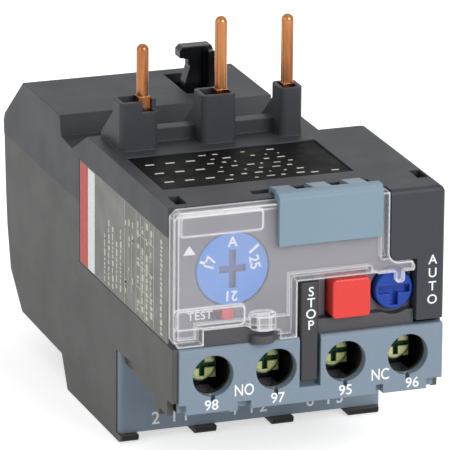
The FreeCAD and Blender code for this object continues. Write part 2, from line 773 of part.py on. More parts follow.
def control_block():
    """The blue-grey moulding of the four control terminals: screw openings in front, wire entries below."""
    body = body_of("control_block")
    low, high = dim.control_bottom, dim.control_top
    edge = LEFT + dim.cheek
    far = RIGHT - dim.play
    add(body, "XZ", 0, 1.5, polygon([
        (edge + 1.2, low), (-11.8, low), (-11.8, low + 1.3), (-9.6, low + 1.3), (-9.6, low), (11.2, low),
        (11.2, low + 1.5), (12.4, low + 1.5), (12.4, low), (far - 2.6, low), (far - 2.6, low + 1.6),
        (far, low + 1.6), (far, high), (edge, high), (edge, low + 1.6), (edge + 1.2, low + 1.6)]))
    soften(body, "Chamfer", 0.35, "X", (0, high))
    inner = dim.cheek + 0.15
    add(body, "XZ", 1.5, CONTROL_END, rectangle(LEFT + inner, low, RIGHT - inner, high))
    cells = [rectangle(x - dim.cell_half_width, low + 1.5, x + dim.cell_half_width, high - 1.5)
             for x in TERMINALS.values()]
    cut(body, "XZ", dim.control_front, CONTROL_END + 1, *cells)
    openings = [circle(x, dim.terminal_height, dim.access_radius) for x in TERMINALS.values()]
    cut(body, "XZ", -1, 3, *openings)
    slit = dim.terminal_height - dim.access_radius
    cut(body, "XZ", -1, dim.control_front / 2, *[rectangle(x - 0.35, slit - 0.8, x + 0.35, slit + 0.5)
                                                 for x in TERMINALS.values()])
    entries = [rectangle(x - dim.entry_half_width, BAR_Y - 4.9, x + dim.entry_half_width, BAR_Y - 0.2)
               for x in TERMINALS.values()]
    cut(body, "XY", low - 1, low + 2, *entries)
    roofs = [rectangle(x - dim.cell_half_width, BAR_Y + 3.5, x + dim.cell_half_width, CONTROL_END + 1)
             for x in TERMINALS.values()]
    cut(body, "XY", high - 2, high + 1, *roofs)
    half = dim.stop_bar_width / 2
    cut(body, "XZ", -1, 1.6, rectangle(dim.stop_bar_x - half - 0.2, dim.stop_bar_bottom - 1.1,
                                       dim.stop_bar_x + half + 0.4, high + 1))
    return body


def load_block():
    """The recessed blue-grey moulding of the three load terminals."""
    body = body_of("load_block")
    face = LOAD_FACE
    low, high = dim.floor_thickness, dim.load_top
    side = dim.play
    add(body, "XZ", face, face + 1.0, rectangle(LEFT + side, low, RIGHT - side, high))
    soften(body, "Fillet", 0.7, "Z", (LEFT + side, face), (RIGHT - side, face))
    add(body, "XZ", face + 1.0, LOAD_BACK, rectangle(INNER_LEFT + 0.1, low, INNER_RIGHT - 0.1, high))
    half = dim.load_cell_half_width
    cut(body, "XZ", LOAD_HEAD_Y - 0.4, LOAD_BACK + 1, *[rectangle(x - half, low + 1.6, x + half, high - 1.6)
                                                       for x in LOADS])
    cut(body, "XZ", face - 1, LOAD_HEAD_Y, *[circle(x, dim.load_height, dim.load_access_radius) for x in LOADS])
    cut(body, "XY", low - 1, low + 2, *[rectangle(x - 3.2, LOAD_BAR_Y - 4.6, x + 3.2, LOAD_BAR_Y - 0.1)
                                        for x in LOADS])
    return body


# ---------------------------------------------------------------- cover, flap and labels

def clear_cover():
    """The transparent cover: a sheet with a skirt behind its edge, a sealing lug and the raised test window."""
    body = body_of("clear_cover")
    left, right = COVER_LEFT, COVER_RIGHT
    top, low = dim.cover_top, dim.cover_bottom
    add(body, "XZ", 0, dim.cover_skirt, polygon([
        (left, top - 1.0), (left, low + 1.1), (left + 0.7, low), (left + 4.9, low), (left + 4.9, low + 2.5),
        (left + 11.7, low + 2.5), (left + 13.3, low + 1.7), (left + 17.5, low + 1.2), (left + 17.5, low - 0.3),
        (left + 20.3, low - 0.3), (left + 20.3, low + 8.9), (KNOB_X - 3.2, low + 8.9),
        (KNOB_X - 3.2, low + 8.7), (right + 4.2, low + 8.7), (right + 4.4, low + 9.4),
        (right + 4.0, BAY_TOP - 0.3), (right, BAY_TOP - 0.3), (right, top), (left + 1.0, top)]))
    soften(body, "Fillet", dim.bay_corner + 0.3, "Y", (right, BAY_TOP - 0.3))
    sheet = dim.cover_sheet
    rim = 0.9
    cut(body, "XZ", sheet, dim.cover_skirt + 1,
        rectangle(left + rim, low + 3.1, left + 20.3 - rim, top - rim))
    cut(body, "XZ", sheet, dim.cover_skirt + 1,
        rectangle(left + 20.3 - rim - 1, low + 9.8, right - rim, top - rim))
    cut(body, "XZ", sheet, dim.cover_skirt + 1,
        rectangle(left + rim, low + 0.9, left + 4.9 - rim, low + 3.5))
    add(body, "XZ", -0.5, 0.2, rounded(left + 0.1, low + 3.0, left + 11.5, low + 6.2, 0.7))
    cut(body, "XZ", sheet, dim.cover_skirt + 1,
        rectangle(right - 2.6, low + 8.0, right + 5, BAY_TOP + 0.2))
    add(body, "XY", low + 1.9, low + 4.3, circle(dim.lug_x, dim.lug_y, dim.lug_radius))
    cut(body, "XY", low + 1, low + 5, rectangle(dim.lug_x - 1.1, -1.2, dim.lug_x + 1.1, -0.3))
    add(body, "XZ", 0, sheet, rounded(KNOB_X - 0.2, low + 6.9, KNOB_X + 1.3, low + 9.2, 0.6))
    add(body, "XZ", -0.45, 0.2, rounded(left + 0.9, top - 3.8, dim.flap_left - 2.5, top - 0.5, 0.5))
    return body


def label_flap():
    """The blue-grey marker flap: a folded plate with three tabs whose beads turn in the groove of the housing."""
    body = body_of("label_flap")
    skin = dim.flap_thickness
    low, top = dim.flap_bottom, dim.flap_top
    add(body, "YZ", dim.flap_left, dim.flap_right, polygon([
        (-skin, low), (-skin, top - 0.8), (-skin + 0.7, top), (dim.flap_fold, top),
        (dim.flap_fold, dim.cover_top + dim.fit), (0, dim.cover_top + dim.fit), (0, low)]))
    wide = dim.hinge_tab
    first, last = dim.flap_left + 0.8, dim.flap_right - wide - 1.6
    for left in (first, (first + last) / 2, last):
        add(body, "YZ", left, left + wide, polygon([
            (dim.flap_fold - 0.3, dim.case_top + dim.fit), (dim.hinge_y, dim.case_top + dim.fit),
            (dim.hinge_y, top - 0.7), (dim.flap_fold - 0.3, top - 0.1)]))
        add(body, "YZ", left, left + wide, circle(dim.hinge_y, dim.hinge_height, dim.hinge_radius))
    return body


def labels():
    """The plates in the shallow recesses of the left side and the top."""
    side = body_of("side_label")
    add(side, "YZ", LEFT + dim.label_sunk, LABEL_RECESS,
        rectangle(dim.panel_y + dim.fit, dim.label_bottom + dim.fit, dim.label_rear_y - dim.fit,
                  dim.label_top - dim.fit))
    top = body_of("top_label")
    low = dim.case_top - 0.6
    add(top, "XY", low, low + dim.top_label_thickness,
        rectangle(LEFT + 2.4, 11.7, REAR_RIGHT - 2.6, dim.tower_front_y - 2.9))


# ---------------------------------------------------------------- things the hand works

def setting_dial():
    """The setting dial: a slotted disc on a stem, turned with a screwdriver."""
    body = body_of("setting_dial", dim.dial_x, 0, dim.dial_height)
    face = dim.panel_y
    seat = face + dim.dial_thickness
    add(body, "XZ", face, seat, circle(0, 0, dim.dial_radius))
    add(body, "XZ", seat, PANEL_BACK + 2.2, circle(0, 0, dim.stem_radius))
    soften_face(body, 0.25, face)
    half, tall, wide = dim.dial_slot / 2, dim.dial_slot_tall, dim.dial_slot_wide
    cut(body, "XZ", face - 1, face + dim.dial_slot_depth, rectangle(-half, -tall, half, tall))
    cut(body, "XZ", face - 1, face + dim.dial_slot_depth, rectangle(-wide, -half, wide, half))


def setting_cam():
    """The eccentric behind the dial that sets the trip current."""
    body = body_of("setting_cam", dim.dial_x, PANEL_BACK + 2.2, dim.dial_height)
    add(body, "XZ", 0, 1.8, circle(0.8, 0, 3.1))


def stop_button():
    """The red stop button with its retaining flange and stem."""
    body = body_of("stop_button", dim.button_x, 0, dim.button_height)
    w, t = dim.button_width / 2, dim.button_tall / 2
    add(body, "XZ", -dim.button_proud, PANEL_BACK + 0.3, rectangle(-w, -t, w, t))
    soften(body, "Fillet", 0.7, "Y", (-w, -t), (-w, t), (w, -t), (w, t))
    soften_face(body, dim.button_rounding, -dim.button_proud)
    add(body, "XZ", PANEL_BACK + 0.3, PANEL_BACK + 1.1, rectangle(-w, -t - 0.7, w, t + 0.7))
    add(body, "XZ", PANEL_BACK + 1.1, dim.frame_y + dim.frame_thickness, circle(0, 0, 1.4))


def stop_bar():
    """The black rib that carries the stop lettering, in front of the panel and in the slot of the block."""
    body = body_of("stop_bar")
    half = dim.stop_bar_width / 2
    x = dim.stop_bar_x
    add(body, "XZ", 0.1, 1.6, rectangle(x - half, dim.stop_bar_bottom, x + half, dim.stop_bar_top))
    add(body, "XZ", 1.6, dim.panel_y, rectangle(x - half, dim.control_top + 0.1, x + half, dim.stop_bar_top))
    soften(body, "Chamfer", 0.25, "Z", (x - half, 0.1), (x + half, 0.1))


def reset_knob():
    """The blue knob: pushed to reset, turned a quarter for automatic reset."""
    body = body_of("reset_knob", KNOB_X, 0, dim.knob_height)
    face = dim.knob_face_y
    add(body, "XZ", face, PANEL_BACK + 0.3, circle(0, 0, dim.knob_radius))
    soften_face(body, dim.button_rounding, face)
    add(body, "XZ", PANEL_BACK + 0.3, PANEL_BACK + 1.1, circle(0, 0, dim.knob_radius + 0.2 + dim.play))
    arm, half = dim.knob_radius - 0.6, 0.65
    cut(body, "XZ", face - 1, face + 1.1, rectangle(-arm, -half, arm, half))
    cut(body, "XZ", face - 1, face + 1.1, rectangle(-half, -arm, half, 0.1))
    plunger = body_of("reset_plunger", KNOB_X, 0, dim.knob_height)
    add(plunger, "XZ", PANEL_BACK + 1.1, dim.frame_y + dim.frame_thickness + 0.6, circle(0, 0, 1.4))


def test_slide():
    """The red test tab and the plate that keeps it behind its window."""
    body = body_of("test_slide", dim.test_x, 0, dim.test_height)
    add(body, "XZ", dim.panel_y - 0.5, PANEL_BACK + 0.2, rectangle(-0.9, -0.75, 0.9, 0.75))
    add(body, "XZ", PANEL_BACK + 0.1, PANEL_BACK + 0.9, rectangle(-1.7, -1.7, 4.2, 1.7))


def contactor_hook():
    """The black hook that catches the contactor, on a base that slides in the slot of the rear block."""
    body = body_of("contactor_hook", dim.hook_x, dim.hook_y, 0)
    roof = dim.block_top - dim.wall
    rise = dim.hook_height - roof
    lip = rise - dim.hook_lip
    add(body, "XZ", -1.2, 1.2, polygon([
        (-2.7, roof - 0.2), (-2.7, roof + 2.4), (-1.8, roof + lip - 1.6), (-2.1, roof + lip - 0.3),
        (-3.6, roof + lip), (-3.6, roof + rise - 0.6), (-3.0, roof + rise), (1.9, roof + rise),
        (2.4, roof + rise - 1.2), (2.4, roof - 0.2)]))
    soften(body, "Fillet", 1.2, "Y", (-2.7, roof + 2.4), (-1.8, roof + lip - 1.6))
    add(body, "XZ", -3.4, -1.1, rectangle(0.7, roof - 0.2, 2.05, roof + rise - 0.4))
    soften(body, "Fillet", 0.6, "Y", (0.7, roof + rise - 0.4), (2.05, roof + rise - 0.4))
    add(body, "XY", roof - 1.7, roof - 0.1, rectangle(-4.2, -4.8, 4.4, 3.2))


# ---------------------------------------------------------------- pins and terminals

def contact_pins():
    """Three copper pins, each with the square foot that rests on its strip."""
    for index, (pole, shift, top) in enumerate(zip(POLES, PIN_SHIFT, PIN_TOPS), 1):
        dome = top - STRIP_TOP - dim.pin_radius
        shaft = rod((0, 0, dim.pin_foot - 0.2), "Z", dome - dim.pin_foot + 0.2, dim.pin_radius)
        half = dim.pin_root_half
        root = block((-half, -half, dim.pin_foot - 0.2), (half, half, TOWER_TOP + 0.3 - STRIP_TOP))
        tip = document.addObject("Part::Sphere", "Tip")
        tie(tip, "Radius", dim.pin_radius)
        tie(tip, "Placement.Base.z", dome)
        foot = block((-1.5, -1.6, 0), (1.5, 1.6, dim.pin_foot))
        finish(joined_solid([shaft, root, tip, foot]), f"contact_pin_{index}", pole + shift, dim.pin_y,
               STRIP_TOP)


def terminal_screw(label, x, y, z, head_radius, shank_radius, length):
    """A terminal screw: a domed cross-slotted head and a shank that reaches through the bar."""
    body = body_of(label, x, y, z)
    height = dim.screw_head_height
    turn(body, "Revolution", "YZ", "H_Axis", polygon([
        (0, 0), (height + length - 0.4, 0), (height + length - 0.4, shank_radius - 0.4),
        (height + length - 0.8, shank_radius), (height, shank_radius), (height, head_radius),
        (0.5, head_radius), (0, head_radius - 0.7)]))
    slot = 0.45
    arm = head_radius - 0.8
    cut(body, "XZ", -0.5, 1.0, rectangle(-head_radius - 0.5, -slot, head_radius + 0.5, slot))
    cut(body, "XZ", -0.5, 1.2, rectangle(-slot, -arm, slot, arm))


def control_terminals():
    """Screw, clamp washer and contact bar of each control terminal."""
    half = dim.washer_width / 2
    for name, x in TERMINALS.items():
        terminal_screw(f"terminal_screw_{name}", x, dim.screw_head_y, dim.terminal_height,
                       dim.screw_head_radius, dim.screw_radius, dim.screw_length)
        washer = body_of(f"clamp_washer_{name}", x, WASHER_Y, dim.terminal_height)
        add(washer, "XZ", 0, dim.washer_thickness, rectangle(-half, -half + 0.2, half, half - 0.1),
            circle(0, 0, dim.screw_radius + dim.running_fit))
        contact_bar(name, x)


def contact_bar(name, x):
    """The fixed bar that the wire is clamped against, led up to its contact point."""
    body = body_of(f"contact_bar_{name}", x, BAR_Y, 0)
    low, high = dim.control_bottom + 1.5, dim.control_top - 1.5
    normally_closed = name in ("95", "96")
    rocker = dim.rocker_y - BAR_Y
    reach = rocker - 5.5 if normally_closed else rocker + 5.6
    under_blade = dim.rocker_height - 1.6 - dim.blade_thickness
    tip = under_blade - (dim.fit if normally_closed else dim.contact_gap)
    half = dim.bar_width / 2
    thick = dim.bar_thickness
    edge = dim.cell_half_width
    add(body, "XZ", 0, thick, rectangle(-edge, low, edge, high),
        circle(0, dim.terminal_height, dim.screw_radius + dim.thread_clearance))
    add(body, "XY", high - thick, high, rectangle(-half, thick - 0.2, half, reach + thick / 2))
    add(body, "XZ", reach - thick / 2, reach + thick / 2, rectangle(-half, high - thick, half, tip - 0.5))
    add(body, "XY", tip - 0.5, tip, circle(0, reach, 0.6))


def load_terminals():
    """Screw, clamp washer and load bar of each load terminal."""
    half = dim.load_washer_width / 2
    low, high = dim.floor_thickness + 1.6, dim.load_top - 1.6
    for index, (x, pole) in enumerate(zip(LOADS, POLES), 1):
        terminal_screw(f"load_screw_{index}", x, LOAD_HEAD_Y, dim.load_height, dim.load_head_radius,
                       dim.load_screw_radius, dim.load_screw_length)
        washer = body_of(f"load_washer_{index}", x, LOAD_WASHER_Y, dim.load_height)
        add(washer, "XZ", 0, dim.washer_thickness, rectangle(-half, -half, half, half),
            circle(0, 0, dim.load_screw_radius + dim.running_fit))
        bar = body_of(f"load_bar_{index}")
        cell = dim.load_cell_half_width
        middle = (x + pole) / 2
        reach = dim.pole_y - dim.bimetal_width / 2 - 1.0
        add(bar, "XZ", LOAD_BAR_Y, LOAD_BAR_Y + dim.bar_thickness, rectangle(x - cell, low, x + cell, high),
            circle(x, dim.load_height, dim.load_screw_radius + dim.thread_clearance))
        add(bar, "XY", dim.load_strip_height, high, rectangle(
            middle - dim.load_strip_width / 2, LOAD_BAR_Y + 0.5, middle + dim.load_strip_width / 2, reach))


# ---------------------------------------------------------------- heaters and trip mechanism

def line_strips():
    """The strips that carry the current from the pin feet back to the heaters."""
    for index, x in enumerate(POLES, 1):
        strip = block((-2.2, dim.pin_y - 2.4, 0), (2.2, dim.pole_y + dim.bimetal_width / 2, dim.strip_thickness))
        finish(joined_solid([strip, block((-0.8, dim.pole_y - 3.9, -4.0), (0.8, dim.pole_y - 3.4, 0.2))]),
               f"line_strip_{index}", x, 0, dim.strip_height)


def pole_carrier():
    """The insulating cross-piece on which the three line strips lie."""
    left, right = INNER_LEFT + dim.fit / 2, INNER_REAR_RIGHT - dim.fit / 2
    front, back = dim.carrier_y, dim.carrier_y + dim.carrier_depth
    under, foot = dim.strip_height - dim.carrier_thickness, dim.parting_height - dim.carrier_leg_depth
    base = block((left, front, under), (right, back, dim.strip_height))
    legs = [block((start, front, foot), (start + dim.carrier_leg, back, under + dim.fit))
            for start in (left, right - dim.carrier_leg)]
    finish(joined_solid([base] + legs), "pole_carrier")


def bimetal_strips():
    """Three bimetal strips that hang from the line strips, free at their lower ends."""
    half, wide = dim.bimetal_thickness / 2, dim.bimetal_width / 2
    strips = [block((x - half, dim.pole_y - wide, dim.bimetal_end), (x + half, dim.pole_y + wide, dim.strip_height))
              for x in POLES]
    compound = document.addObject("Part::Compound", "Strips")
    compound.Links = strips
    finish(compound, "bimetal_strips")


def heater_windings():
    """Ribbon heaters wound round the bimetals: flat turns, joined in front by short risers."""
    inner = dim.bimetal_thickness / 2 + 0.5
    outer = inner + dim.winding_sheet
    deep = dim.bimetal_width / 2 + 0.5
    far = deep + dim.winding_sheet
    turns = 6
    heaters = []
    for x in POLES:
        rings = []
        for step in range(turns):
            low = dim.winding_bottom + dim.winding_pitch * step
            ring = without(block((x - outer, dim.pole_y - far, low), (x + outer, dim.pole_y + far,
                                                                      low + dim.winding_band)),
                           [block((x - inner, dim.pole_y - deep, low - 1), (x + inner, dim.pole_y + deep,
                                                                            low + dim.winding_band + 1))])
            rings.append(ring)
            shift = 0.5 if step % 2 else -0.5
            if step < turns - 1:
                rings.append(block((x + shift - 0.5, dim.pole_y - far, low + 0.2),
                                   (x + shift + 0.5, dim.pole_y - deep, low + dim.winding_pitch + 0.2)))
        load_top = dim.load_top - 1.6
        rings.append(block((x - 0.5, dim.pole_y - far - 0.5, load_top), (x + 0.5, dim.pole_y - deep,
                                                                        dim.winding_bottom + 0.8)))
        heaters.append(joined_solid(rings))
    compound = document.addObject("Part::Compound", "Heaters")
    compound.Links = heaters
    finish(compound, "heater_windings")


def trip_bars():
    """The trip bar and the differential bar: slotted slides that the bimetal ends push sideways."""
    half = dim.bimetal_thickness / 2
    front = dim.pole_y - dim.bimetal_width / 2 - 0.9
    back = dim.pole_y + dim.bimetal_width / 2 + 0.9
    start, end = INNER_LEFT + 0.4, INNER_REAR_RIGHT - dim.trip_travel - 0.2
    for label, step in (("trip_bar", 0), ("differential_bar", 1)):
        body = body_of(label, 0, 0, dim.trip_height + dim.bar_step * step)
        add(body, "XY", 0, dim.bar_step - 0.4, rectangle(start, front, end, back))
        slots = [rectangle(x - half - dim.trip_travel - 0.15, front + 0.7, x + half + 0.15, back - 0.7)
                 for x in POLES]
        cut(body, "XY", -1, dim.bar_step, *slots)
        if label == "trip_bar":
            add(body, "XY", 0, dim.bar_step - 0.4, rectangle(dim.lever_x - 2.4, front - 1.4, dim.lever_x - 1.15,
                                                             front + 0.3))


def transfer_lever():
    """The lever that carries the trip bar's motion forward, on its upright pin."""
    height = dim.bar_step - 0.4
    tip = dim.pole_y - dim.bimetal_width / 2 - 0.9 - 0.8 - dim.lever_y
    hub = rod((0, 0, -1.2), "Z", height + 2.4, dim.lever_hub_radius)
    rear = block((-0.9, 0, 0), (0.6, tip, height))
    arm, nose_top = dim.lever_arm, dim.lever_nose_top
    bend = dim.lever_nose_thickness - arm
    front = block((-1.0, -arm, 0), (1.0, 0, height))
    finger = block((-1.0, -arm, 0), (1.0, bend, nose_top))
    nose = block((-1.0, -dim.lever_nose, nose_top - dim.lever_nose_thickness), (1.0, bend, nose_top))
    bore = rod((0, 0, -3), "Z", 8, dim.lever_pin_radius + dim.running_fit)
    finish(without(joined_solid([hub, rear, front, finger, nose]), [bore]), "transfer_lever",
           dim.lever_x, dim.lever_y, dim.trip_height)
    pin = rod((0, 0, 0), "Z", dim.trip_height + 3.4 - dim.wall, dim.lever_pin_radius)
    collar = rod((0, 0, 0), "Z", dim.trip_height - 1.2 - dim.wall - 0.05, 2.2)
    finish(joined_solid([pin, collar]), "lever_pin", dim.lever_x, dim.lever_y, dim.wall)


def contact_rocker():
    """The insulating rocker that opens the closed contact in front and closes the open one behind."""
    hub_x = 16.5
    low = dim.rocker_height - 1.6
    hub = rod((-hub_x, dim.rocker_y, dim.rocker_height), "X", 2 * hub_x, dim.rocker_hub_radius)
    closed_arm = block((3.0, dim.rocker_y - 7.2, low), (hub_x, dim.rocker_y, low + 1.6))
    open_arm = block((-hub_x, dim.rocker_y, low), (-3.0, dim.rocker_y + 7.2, low + 1.6))
    bore = rod((-hub_x - 1, dim.rocker_y, dim.rocker_height), "X", 2 * hub_x + 2,
               dim.rocker_shaft_radius + dim.running_fit)
    finish(without(joined_solid([hub, closed_arm, open_arm]), [bore]), "contact_rocker")
    shaft = rod((INNER_LEFT, dim.rocker_y, dim.rocker_height), "X", INNER_RIGHT - INNER_LEFT,
                dim.rocker_shaft_radius)
    finish(shaft, "rocker_shaft")
    blade_low = low - dim.blade_thickness
    for label, names, offset in (("nc_blade", ("95", "96"), -5.5), ("no_blade", ("98", "97"), 5.6)):
        y = dim.rocker_y + offset
        blade = block((TERMINALS[names[0]] - 1.0, y - 1.1, blade_low), (TERMINALS[names[1]] + 1.0, y + 1.1, low))
        finish(blade, label)


def mechanism_frame():
    """The cross wall behind the buttons that guides their stems and takes the springs."""
    low, high = dim.control_top, dim.parting_height
    wall = block((2.0, dim.frame_y, low), (INNER_RIGHT - 0.1, dim.frame_y + dim.frame_thickness, high))
    bores = [rod((x, dim.frame_y - 1, z), "Y", dim.frame_thickness + 2, 1.4 + dim.running_fit)
             for x, z in ((dim.button_x, dim.button_height), (KNOB_X, dim.knob_height))]
    finish(without(wall, bores), "mechanism_frame")


def coil_spring(label, x, y, z, axis, radius, length, coils):
    """A compression spring of square-section wire with its first turn at the origin of its frame."""
    wire = as_size(dim.spring_wire).number
    long = as_size(length).number
    coil = Part.makeHelix((long - wire) / coils, long - wire, as_size(radius).number)
    start = Vector(as_size(radius).number, 0, 0)
    square = Part.makePolygon([start + Vector(u * wire / 2, 0, v * wire / 2)
                               for u, v in ((-1, -1), (1, -1), (1, 1), (-1, 1), (-1, -1))])
    solid = Part.Wire(coil).makePipeShell([square], True, True)
    solid.translate(Vector(0, 0, wire / 2))
    if axis == "Y":
        solid.rotate(Vector(), Vector(1, 0, 0), -90)
    spring = document.addObject("Part::Feature", "Spring")
    spring.Shape = solid
    place(spring, x, y, z)
    register(spring, label)


def springs():
    start = PANEL_BACK + 1.1 + 0.25
    coil_spring("stop_spring", dim.button_x, start, dim.button_height, "Y", 2.2, dim.frame_y - start - 0.05, 3)
    coil_spring("reset_spring", KNOB_X, start, dim.knob_height, "Y", 2.2, dim.frame_y - start - 0.05, 3)
    low = dim.control_top + 0.05
    coil_spring("rocker_spring", 11.2, dim.rocker_y - 3.6, low, "Z", 1.6, dim.rocker_height - 1.7 - low, 6)


# ---------------------------------------------------------------- build, check and write

def build():
    upper_housing()
    lower_housing()
    front_panel()
    control_block()
    load_block()
    clear_cover()
    label_flap()
    labels()
    setting_dial()
    setting_cam()
    stop_button()
    stop_bar()
    reset_knob()
    test_slide()
    contactor_hook()
    contact_pins()
    control_terminals()
    load_terminals()
    line_strips()
    pole_carrier()
    bimetal_strips()
    heater_windings()
    trip_bars()
    transfer_lever()
    contact_rocker()
    mechanism_frame()
    springs()
    document.recompute()


def check_and_write():
    for thing in document.Objects:
        if "Invalid" in thing.State or "Error" in thing.State:
            raise RuntimeError(f"{thing.Label} ({thing.Name}) is {thing.State}")
    os.makedirs("parts", exist_ok=True)
    for label, thing in PARTS.items():
        if thing.Shape.isNull() or not thing.Shape.isValid():
            raise RuntimeError(f"{label} has no valid shape")
    for label, thing in PARTS.items():
        thing.Shape.exportStep(os.path.join("parts", f"{label}.step"))
    print(f"{len(PARTS)} sub-parts written")


build()
check_and_write()
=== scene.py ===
"""Looks of the thermal overload relay: finishes, printed marks, floor, light and camera.

Everything is in metres and in the part's own frame: X to the right seen from the front, Y from the front to the
back, Z up. The objects from the frame keep their shape and place; the marks take theirs from the objects' boxes.
"""

import json
import math
import random

import bpy
from mathutils import Matrix, Vector

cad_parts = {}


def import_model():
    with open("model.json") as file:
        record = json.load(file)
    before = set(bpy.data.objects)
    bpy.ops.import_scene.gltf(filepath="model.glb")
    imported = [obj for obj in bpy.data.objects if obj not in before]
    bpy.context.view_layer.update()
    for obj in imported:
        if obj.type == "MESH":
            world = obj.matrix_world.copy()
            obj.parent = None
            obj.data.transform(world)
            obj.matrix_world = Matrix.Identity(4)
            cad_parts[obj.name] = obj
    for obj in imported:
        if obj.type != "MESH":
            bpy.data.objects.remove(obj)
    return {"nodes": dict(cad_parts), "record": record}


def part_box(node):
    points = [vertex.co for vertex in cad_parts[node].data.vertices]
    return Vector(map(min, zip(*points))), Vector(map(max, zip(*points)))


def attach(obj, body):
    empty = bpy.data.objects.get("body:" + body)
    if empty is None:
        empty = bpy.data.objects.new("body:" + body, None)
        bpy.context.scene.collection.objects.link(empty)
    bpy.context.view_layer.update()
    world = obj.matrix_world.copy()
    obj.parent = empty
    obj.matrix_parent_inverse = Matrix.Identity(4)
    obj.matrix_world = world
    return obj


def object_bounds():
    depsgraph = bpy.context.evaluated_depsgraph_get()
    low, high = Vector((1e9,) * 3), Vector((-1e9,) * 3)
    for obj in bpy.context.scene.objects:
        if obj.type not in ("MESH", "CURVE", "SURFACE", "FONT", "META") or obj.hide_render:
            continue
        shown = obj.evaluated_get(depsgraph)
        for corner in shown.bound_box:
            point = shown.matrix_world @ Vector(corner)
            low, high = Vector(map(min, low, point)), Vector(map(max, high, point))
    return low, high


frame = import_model()
CAD_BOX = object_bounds()
NODES = frame["nodes"]
BODY_OF = {node: body for body, nodes in frame["record"]["behaviour"]["bodies"].items() for node in nodes}
SLOT_OF = {part["node"]: part["material_slot"] for part in frame["record"]["subparts"]}

LOW, HIGH = CAD_BOX

MM = 0.001
FILM = 0.03 * MM
LETTER_SHARE = 0.72
WHITE = (1, 1, 1, 1)


# ---------------------------------------------------------------- colours

def srgb(red, green, blue):
    """A colour as seen on a screen, as the linear values that a shader takes."""
    def linear(value):
        value = value / 255
        return value / 12.92 if value <= 0.04045 else ((value + 0.055) / 1.055) ** 2.4
    return (linear(red), linear(green), linear(blue), 1.0)


def scaled(colour, factor):
    return tuple(min(1.0, c * factor) for c in colour[:3]) + (1.0,)


CHARCOAL = srgb(50, 52, 58)
SHELL = srgb(77, 76, 75)
PANEL = srgb(62, 62, 66)
PANEL_FACE = srgb(106, 103, 108)
BLUE_GREY = srgb(118, 134, 148)
FLAP = srgb(119, 141, 156)
DIAL = srgb(52, 134, 218)
# Painted shade: the darker blue inside the dial's slot.
DIAL_SLOT_SHADE = srgb(36, 76, 136)
KNOB = srgb(0, 56, 152)
RED = srgb(214, 48, 40)
BLACK = srgb(42, 42, 45)
# Near black: painted shade deep in the screw openings, and the black of the case's feet.
SHADE_AND_FOOT_BLACK = srgb(17, 17, 18)
HOOK = srgb(15, 16, 18)
COPPER = srgb(180, 120, 78)
# Painted reflection: the dark of the copper's vertical streaks.
COPPER_DARK_REFLECTION = srgb(116, 58, 32)
BRASS = srgb(196, 164, 92)
ZINC = srgb(252, 252, 186)
# Painted shade, tinted green: the inside of the screws' slots.
SLOT_SHADE_GREEN = srgb(24, 84, 40)
ZINC_DULL = srgb(214, 222, 150)
BAR = srgb(44, 43, 41)
STEEL = srgb(150, 150, 150)
INSULATOR = srgb(178, 170, 150)
HEATER = srgb(140, 130, 118)
LABEL = srgb(108, 108, 102)
LABEL_BLACK = srgb(12, 12, 14)
PRINT = srgb(240, 242, 244)
PRINT_GREY = srgb(206, 206, 192)
PRINT_RED = srgb(200, 58, 48)
# The clear cover's milky white: partly its own cloudiness, partly painted sheen.
CLEAR = srgb(222, 220, 230)
# Painted highlight: the near white of the clear cover's edges.
CLEAR_EDGE_GLINT = srgb(250, 250, 252)


# ---------------------------------------------------------------- materials

# Noise scales, in cells per metre.
STAINS = 70
PATCHES = 160
MOTTLE = 900
SPARKS = 2600
GRAIN = 3200

# Sockets of the colour mix node.
MIX_FIRST, MIX_SECOND, MIX_RESULT = 6, 7, 2


